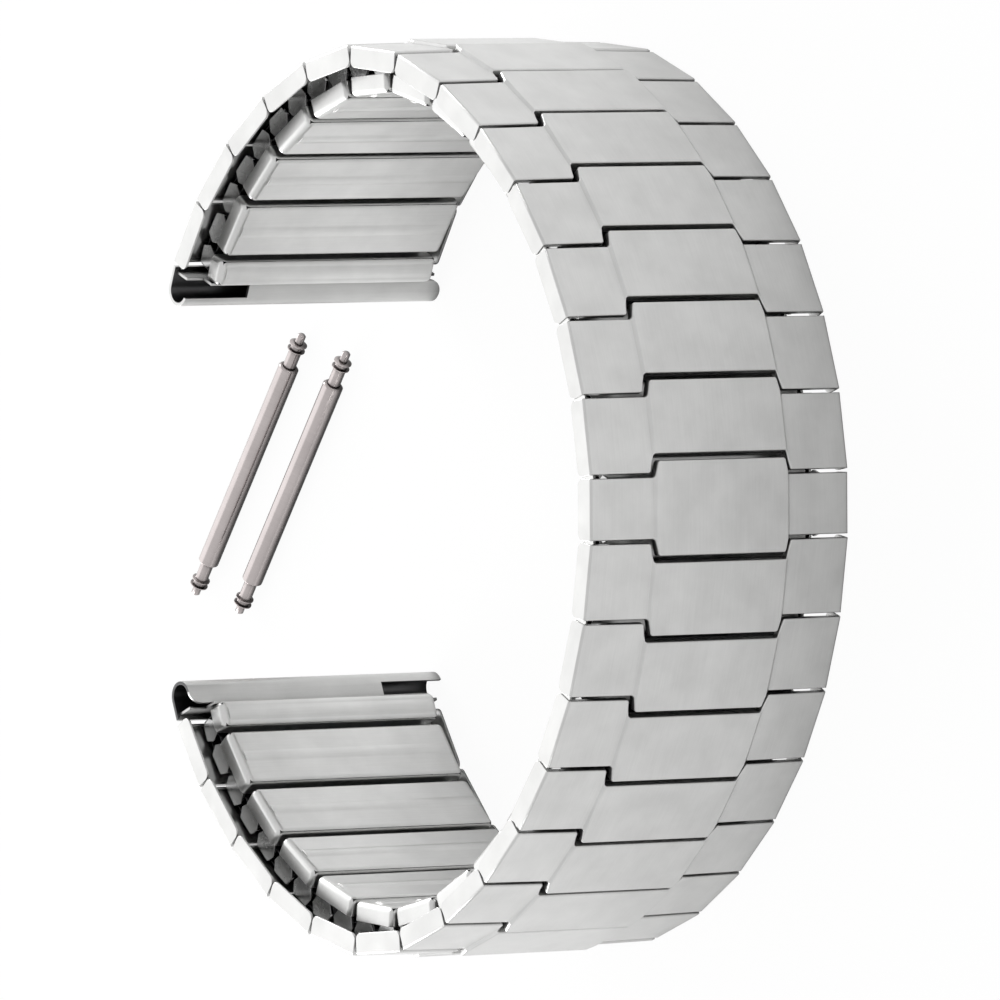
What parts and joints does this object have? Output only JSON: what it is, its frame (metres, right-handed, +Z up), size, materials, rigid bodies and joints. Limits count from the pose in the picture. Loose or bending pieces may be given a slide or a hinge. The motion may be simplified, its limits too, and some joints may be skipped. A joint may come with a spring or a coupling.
{
  "type": "expansion watch band",
  "caption": "Stainless steel expansion watch band: stepped outer links over a wrist row on sprung staples, open end pieces and loose spring bars.",
  "frame": {"origin": "middle of the underside of the whole part, loose spring bars included, on the surface it lies on", "axes": "+Z up along the width of the band, which lies on its side; +X towards the half of the loop that ends in the upper end piece; +Y from the middle outer link towards the opening for the watch case and the loose spring bars"},
  "size_m": [0.0638, 0.0786, 0.0218],
  "materials": {
    "outer_link_steel": "fine satin",
    "wrist_row_steel": "fine satin",
    "end_piece_steel": "fine satin",
    "spring_bar_steel": "drawn, bright"
  },
  "bodies": {
    "outer_link_01": {"outer_link_01": "outer_link_steel"},
    "outer_link_02": {"outer_link_02": "outer_link_steel"},
    "outer_link_03": {"outer_link_03": "outer_link_steel"},
    "outer_link_04": {"outer_link_04": "outer_link_steel"},
    "outer_link_05": {"outer_link_05": "outer_link_steel"},
    "outer_link_06": {"outer_link_06": "outer_link_steel"},
    "outer_link_07": {"outer_link_07": "outer_link_steel"},
    "outer_link_08": {"outer_link_08": "outer_link_steel"},
    "outer_link_09": {"outer_link_09": "outer_link_steel"},
    "outer_link_10": {"outer_link_10": "outer_link_steel"},
    "outer_link_11": {"outer_link_11": "outer_link_steel"},
    "outer_link_12": {"outer_link_12": "outer_link_steel"},
    "outer_link_13": {"outer_link_13": "outer_link_steel"},
    "outer_link_14": {"outer_link_14": "outer_link_steel"},
    "outer_link_15": {"outer_link_15": "outer_link_steel"},
    "outer_link_16": {"outer_link_16": "outer_link_steel"},
    "outer_link_17": {"outer_link_17": "outer_link_steel"},
    "outer_link_18": {"outer_link_18": "outer_link_steel"},
    "outer_link_19": {"outer_link_19": "outer_link_steel"},
    "outer_link_20": {"outer_link_20": "outer_link_steel"},
    "outer_link_21": {"outer_link_21": "outer_link_steel"},
    "outer_link_22": {"outer_link_22": "outer_link_steel"},
    "outer_link_23": {"outer_link_23": "outer_link_steel"},
    "outer_link_24": {"outer_link_24": "outer_link_steel"},
    "outer_link_25": {"outer_link_25": "outer_link_steel"},
    "outer_link_26": {"outer_link_26": "outer_link_steel"},
    "outer_link_27": {"outer_link_27": "outer_link_steel"},
    "inner_link_01": {"inner_link_01": "wrist_row_steel"},
    "inner_link_02": {"inner_link_02": "wrist_row_steel"},
    "inner_link_03": {"inner_link_03": "wrist_row_steel"},
    "inner_link_04": {"inner_link_04": "wrist_row_steel"},
    "inner_link_05": {"inner_link_05": "wrist_row_steel"},
    "inner_link_06": {"inner_link_06": "wrist_row_steel"},
    "inner_link_07": {"inner_link_07": "wrist_row_steel"},
    "inner_link_08": {"inner_link_08": "wrist_row_steel"},
    "inner_link_09": {"inner_link_09": "wrist_row_steel"},
    "inner_link_10": {"inner_link_10": "wrist_row_steel"},
    "inner_link_11": {"inner_link_11": "wrist_row_steel"},
    "inner_link_12": {"inner_link_12": "wrist_row_steel"},
    "inner_link_13": {"inner_link_13": "wrist_row_steel"},
    "inner_link_14": {"inner_link_14": "wrist_row_steel"},
    "inner_link_15": {"inner_link_15": "wrist_row_steel"},
    "inner_link_16": {"inner_link_16": "wrist_row_steel"},
    "inner_link_17": {"inner_link_17": "wrist_row_steel"},
    "inner_link_18": {"inner_link_18": "wrist_row_steel"},
    "inner_link_19": {"inner_link_19": "wrist_row_steel"},
    "inner_link_20": {"inner_link_20": "wrist_row_steel"},
    "inner_link_21": {"inner_link_21": "wrist_row_steel"},
    "inner_link_22": {"inner_link_22": "wrist_row_steel"},
    "inner_link_23": {"inner_link_23": "wrist_row_steel"},
    "inner_link_24": {"inner_link_24": "wrist_row_steel"},
    "inner_link_25": {"inner_link_25": "wrist_row_steel"},
    "inner_link_26": {"inner_link_26": "wrist_row_steel"},
    "end_piece_upper": {"end_piece_upper": "end_piece_steel"},
    "end_piece_lower": {"end_piece_lower": "end_piece_steel"},
    "spring_bar_barrels": {"spring_bar_barrels": "spring_bar_steel"},
    "spring_bar_1_pivot_a": {"spring_bar_1_pivot_a": "spring_bar_steel"},
    "spring_bar_1_pivot_b": {"spring_bar_1_pivot_b": "spring_bar_steel"},
    "spring_bar_2_pivot_a": {"spring_bar_2_pivot_a": "spring_bar_steel"},
    "spring_bar_2_pivot_b": {"spring_bar_2_pivot_b": "spring_bar_steel"}
  },
  "joints": [
    {"name": "stretch_13", "type": "slide", "parent": "outer_link_14", "child": "inner_link_13", "axis": [1, 0, 0], "range_m": [0, 0.0007], "stiffness_N_per_m": 40},
    {"name": "bars_lift", "type": "slide", "parent": "outer_link_14", "child": "spring_bar_barrels", "axis": [0, 0, 1], "range_m": [0, 0.03]},
    {"name": "bar_1_pivot_a", "type": "slide", "parent": "spring_bar_barrels", "child": "spring_bar_1_pivot_a", "axis": [-0.809, 0.5878, 0], "range_m": [0, 0.001], "stiffness_N_per_m": 200},
    {"name": "bar_1_pivot_b", "type": "slide", "parent": "spring_bar_barrels", "child": "spring_bar_1_pivot_b", "axis": [0.809, -0.5878, 0], "range_m": [0, 0.001], "stiffness_N_per_m": 200},
    {"name": "bar_2_pivot_a", "type": "slide", "parent": "spring_bar_barrels", "child": "spring_bar_2_pivot_a", "axis": [-0.809, 0.5878, 0], "range_m": [0, 0.001], "stiffness_N_per_m": 200},
    {"name": "bar_2_pivot_b", "type": "slide", "parent": "spring_bar_barrels", "child": "spring_bar_2_pivot_b", "axis": [0.809, -0.5878, 0], "range_m": [0, 0.001], "stiffness_N_per_m": 200},
    {"name": "link_hinge_13", "type": "hinge", "parent": "inner_link_13", "child": "outer_link_13", "pos_m": [0.00379, -0.03764, 0.0109], "axis": [0, 0, 1], "range_deg": [-8.4, 10.3]},
    {"name": "link_hinge_12", "type": "hinge", "parent": "inner_link_12", "child": "outer_link_12", "pos_m": [0.009, -0.03655, 0.0109], "axis": [0, 0, -1], "range_deg": [-10.25, 8.5]},
    {"name": "link_hinge_11", "type": "hinge", "parent": "inner_link_11", "child": "outer_link_11", "pos_m": [0.01396, -0.03461, 0.0109], "axis": [0, 0, 1], "range_deg": [-8.6, 10.2]},
    {"name": "link_hinge_10", "type": "hinge", "parent": "inner_link_10", "child": "outer_link_10", "pos_m": [0.01853, -0.03187, 0.0109], "axis": [0, 0, -1], "range_deg": [-10.15, 8.7]},
    {"name": "link_hinge_09", "type": "hinge", "parent": "inner_link_09", "child": "outer_link_09", "pos_m": [0.02257, -0.0284, 0.0109], "axis": [0, 0, 1], "range_deg": [-8.8, 10.1]},
    {"name": "link_hinge_08", "type": "hinge", "parent": "inner_link_08", "child": "outer_link_08", "pos_m": [0.02595, -0.02429, 0.0109], "axis": [0, 0, -1], "range_deg": [-10, 9]},
    {"name": "link_hinge_07", "type": "hinge", "parent": "inner_link_07", "child": "outer_link_07", "pos_m": [0.02854, -0.01964, 0.0109], "axis": [0, 0, 1], "range_deg": [-10.39, 9.3]},
    {"name": "link_hinge_06", "type": "hinge", "parent": "inner_link_06", "child": "outer_link_06", "pos_m": [0.03006, -0.01454, 0.0109], "axis": [0, 0, -1], "range_deg": [-7.07, 14.86]},
    {"name": "link_hinge_05", "type": "hinge", "parent": "inner_link_05", "child": "outer_link_05", "pos_m": [0.03009, -0.00923, 0.0109], "axis": [0, 0, 1], "range_deg": [-16.5, 6.25]},
    {"name": "link_hinge_04", "type": "hinge", "parent": "inner_link_04", "child": "outer_link_04", "pos_m": [0.02862, -0.00411, 0.0109], "axis": [0, 0, -1], "range_deg": [-8.43, 12.13]},
    {"name": "link_hinge_03", "type": "hinge", "parent": "inner_link_03", "child": "outer_link_03", "pos_m": [0.02607, 0.00056, 0.0109], "axis": [0, 0, 1], "range_deg": [-9.74, 9.63]},
    {"name": "link_hinge_02", "type": "hinge", "parent": "inner_link_02", "child": "outer_link_02", "pos_m": [0.02269, 0.00468, 0.0109], "axis": [0, 0, -1], "range_deg": [-9.74, 9.51]},
    {"name": "link_hinge_01", "type": "hinge", "parent": "inner_link_01", "child": "outer_link_01", "pos_m": [0.01862, 0.00811, 0.0109], "axis": [0, 0, 1], "range_deg": [-9.6, 9.7]},
    {"name": "end_hinge_upper", "type": "hinge", "parent": "outer_link_01", "child": "end_piece_upper", "pos_m": [0.01665, 0.00936, 0.0109], "axis": [0, 0, -1], "range_deg": [-2.3, 9.7]},
    {"name": "link_hinge_14", "type": "hinge", "parent": "inner_link_14", "child": "outer_link_15", "pos_m": [-0.00379, -0.03764, 0.0109], "axis": [0, 0, -1], "range_deg": [-8.4, 10.3]},
    {"name": "link_hinge_15", "type": "hinge", "parent": "inner_link_15", "child": "outer_link_16", "pos_m": [-0.009, -0.03655, 0.0109], "axis": [0, 0, 1], "range_deg": [-10.25, 8.5]},
    {"name": "link_hinge_16", "type": "hinge", "parent": "inner_link_16", "child": "outer_link_17", "pos_m": [-0.01396, -0.03461, 0.0109], "axis": [0, 0, -1], "range_deg": [-8.6, 10.2]},
    {"name": "link_hinge_17", "type": "hinge", "parent": "inner_link_17", "child": "outer_link_18", "pos_m": [-0.01853, -0.03187, 0.0109], "axis": [0, 0, 1], "range_deg": [-10.15, 8.7]},
    {"name": "link_hinge_18", "type": "hinge", "parent": "inner_link_18", "child": "outer_link_19", "pos_m": [-0.02257, -0.0284, 0.0109], "axis": [0, 0, -1], "range_deg": [-8.8, 10.1]},
    {"name": "link_hinge_19", "type": "hinge", "parent": "inner_link_19", "child": "outer_link_20", "pos_m": [-0.02595, -0.02429, 0.0109], "axis": [0, 0, 1], "range_deg": [-10, 9]},
    {"name": "link_hinge_20", "type": "hinge", "parent": "inner_link_20", "child": "outer_link_21", "pos_m": [-0.02854, -0.01964, 0.0109], "axis": [0, 0, -1], "range_deg": [-10.39, 9.3]},
    {"name": "link_hinge_21", "type": "hinge", "parent": "inner_link_21", "child": "outer_link_22", "pos_m": [-0.03006, -0.01454, 0.0109], "axis": [0, 0, 1], "range_deg": [-7.07, 14.86]},
    {"name": "link_hinge_22", "type": "hinge", "parent": "inner_link_22", "child": "outer_link_23", "pos_m": [-0.03009, -0.00923, 0.0109], "axis": [0, 0, -1], "range_deg": [-16.5, 6.25]},
    {"name": "link_hinge_23", "type": "hinge", "parent": "inner_link_23", "child": "outer_link_24", "pos_m": [-0.02862, -0.00411, 0.0109], "axis": [0, 0, 1], "range_deg": [-8.43, 12.13]},
    {"name": "link_hinge_24", "type": "hinge", "parent": "inner_link_24", "child": "outer_link_25", "pos_m": [-0.02607, 0.00056, 0.0109], "axis": [0, 0, -1], "range_deg": [-9.74, 9.63]},
    {"name": "link_hinge_25", "type": "hinge", "parent": "inner_link_25", "child": "outer_link_26", "pos_m": [-0.02269, 0.00468, 0.0109], "axis": [0, 0, 1], "range_deg": [-9.74, 9.51]},
    {"name": "link_hinge_26", "type": "hinge", "parent": "inner_link_26", "child": "outer_link_27", "pos_m": [-0.01862, 0.00811, 0.0109], "axis": [0, 0, -1], "range_deg": [-9.6, 9.7]},
    {"name": "end_hinge_lower", "type": "hinge", "parent": "outer_link_27", "child": "end_piece_lower", "pos_m": [-0.01665, 0.00936, 0.0109], "axis": [0, 0, 1], "range_deg": [-2.3, 9.7]},
    {"name": "stretch_12", "type": "slide", "parent": "outer_link_13", "child": "inner_link_12", "axis": [0.9866, 0.1633, 0], "range_m": [0, 0.0007]},
    {"name": "stretch_11", "type": "slide", "parent": "outer_link_12", "child": "inner_link_11", "axis": [0.9461, 0.3239, 0], "range_m": [0, 0.0007]},
    {"name": "stretch_10", "type": "slide", "parent": "outer_link_11", "child": "inner_link_10", "axis": [0.8788, 0.4772, 0], "range_m": [0, 0.0007]},
    {"name": "stretch_09", "type": "slide", "parent": "outer_link_10", "child": "inner_link_09", "axis": [0.7859, 0.6184, 0], "range_m": [0, 0.0007]},
    {"name": "stretch_08", "type": "slide", "parent": "outer_link_09", "child": "inner_link_08", "axis": [0.6691, 0.7432, 0], "range_m": [0, 0.0007]},
    {"name": "stretch_07", "type": "slide", "parent": "outer_link_08", "child": "inner_link_07", "axis": [0.5298, 0.8481, 0], "range_m": [0, 0.0007]},
    {"name": "stretch_06", "type": "slide", "parent": "outer_link_07", "child": "inner_link_06", "axis": [0.3519, 0.936, 0], "range_m": [0, 0.0007]},
    {"name": "stretch_05", "type": "slide", "parent": "outer_link_06", "child": "inner_link_05", "axis": [0.0826, 0.9966, 0], "range_m": [0, 0.0007]},
    {"name": "stretch_04", "type": "slide", "parent": "outer_link_05", "child": "inner_link_04", "axis": [-0.2209, 0.9753, 0], "range_m": [0, 0.0007]},
    {"name": "stretch_03", "type": "slide", "parent": "outer_link_04", "child": "inner_link_03", "axis": [-0.4367, 0.8996, 0], "range_m": [0, 0.0007]},
    {"name": "stretch_02", "type": "slide", "parent": "outer_link_03", "child": "inner_link_02", "axis": [-0.5966, 0.8025, 0], "range_m": [0, 0.0007]},
    {"name": "stretch_01", "type": "slide", "parent": "outer_link_02", "child": "inner_link_01", "axis": [-0.733, 0.6802, 0], "range_m": [0, 0.0007]},
    {"name": "stretch_14", "type": "slide", "parent": "outer_link_14", "child": "inner_link_14", "axis": [-1, 0, 0], "range_m": [0, 0.0007]},
    {"name": "stretch_15", "type": "slide", "parent": "outer_link_15", "child": "inner_link_15", "axis": [-0.9866, 0.1633, 0], "range_m": [0, 0.0007]},
    {"name": "stretch_16", "type": "slide", "parent": "outer_link_16", "child": "inner_link_16", "axis": [-0.9461, 0.3239, 0], "range_m": [0, 0.0007]},
    {"name": "stretch_17", "type": "slide", "parent": "outer_link_17", "child": "inner_link_17", "axis": [-0.8788, 0.4772, 0], "range_m": [0, 0.0007]},
    {"name": "stretch_18", "type": "slide", "parent": "outer_link_18", "child": "inner_link_18", "axis": [-0.7859, 0.6184, 0], "range_m": [0, 0.0007]},
    {"name": "stretch_19", "type": "slide", "parent": "outer_link_19", "child": "inner_link_19", "axis": [-0.6691, 0.7432, 0], "range_m": [0, 0.0007]},
    {"name": "stretch_20", "type": "slide", "parent": "outer_link_20", "child": "inner_link_20", "axis": [-0.5298, 0.8481, 0], "range_m": [0, 0.0007]},
    {"name": "stretch_21", "type": "slide", "parent": "outer_link_21", "child": "inner_link_21", "axis": [-0.3519, 0.936, 0], "range_m": [0, 0.0007]},
    {"name": "stretch_22", "type": "slide", "parent": "outer_link_22", "child": "inner_link_22", "axis": [-0.0826, 0.9966, 0], "range_m": [0, 0.0007]},
    {"name": "stretch_23", "type": "slide", "parent": "outer_link_23", "child": "inner_link_23", "axis": [0.2209, 0.9753, 0], "range_m": [0, 0.0007]},
    {"name": "stretch_24", "type": "slide", "parent": "outer_link_24", "child": "inner_link_24", "axis": [0.4367, 0.8996, 0], "range_m": [0, 0.0007]},
    {"name": "stretch_25", "type": "slide", "parent": "outer_link_25", "child": "inner_link_25", "axis": [0.5966, 0.8025, 0], "range_m": [0, 0.0007]},
    {"name": "stretch_26", "type": "slide", "parent": "outer_link_26", "child": "inner_link_26", "axis": [0.733, 0.6802, 0], "range_m": [0, 0.0007]}
  ],
  "couplings": [
    {"joint": "stretch_12", "follows": "stretch_13", "ratio": 1},
    {"joint": "stretch_11", "follows": "stretch_13", "ratio": 1},
    {"joint": "stretch_10", "follows": "stretch_13", "ratio": 1},
    {"joint": "stretch_09", "follows": "stretch_13", "ratio": 1},
    {"joint": "stretch_08", "follows": "stretch_13", "ratio": 1},
    {"joint": "stretch_07", "follows": "stretch_13", "ratio": 1},
    {"joint": "stretch_06", "follows": "stretch_13", "ratio": 1},
    {"joint": "stretch_05", "follows": "stretch_13", "ratio": 1},
    {"joint": "stretch_04", "follows": "stretch_13", "ratio": 1},
    {"joint": "stretch_03", "follows": "stretch_13", "ratio": 1},
    {"joint": "stretch_02", "follows": "stretch_13", "ratio": 1},
    {"joint": "stretch_01", "follows": "stretch_13", "ratio": 1},
    {"joint": "stretch_14", "follows": "stretch_13", "ratio": 1},
    {"joint": "stretch_15", "follows": "stretch_13", "ratio": 1},
    {"joint": "stretch_16", "follows": "stretch_13", "ratio": 1},
    {"joint": "stretch_17", "follows": "stretch_13", "ratio": 1},
    {"joint": "stretch_18", "follows": "stretch_13", "ratio": 1},
    {"joint": "stretch_19", "follows": "stretch_13", "ratio": 1},
    {"joint": "stretch_20", "follows": "stretch_13", "ratio": 1},
    {"joint": "stretch_21", "follows": "stretch_13", "ratio": 1},
    {"joint": "stretch_22", "follows": "stretch_13", "ratio": 1},
    {"joint": "stretch_23", "follows": "stretch_13", "ratio": 1},
    {"joint": "stretch_24", "follows": "stretch_13", "ratio": 1},
    {"joint": "stretch_25", "follows": "stretch_13", "ratio": 1},
    {"joint": "stretch_26", "follows": "stretch_13", "ratio": 1}
  ]
}
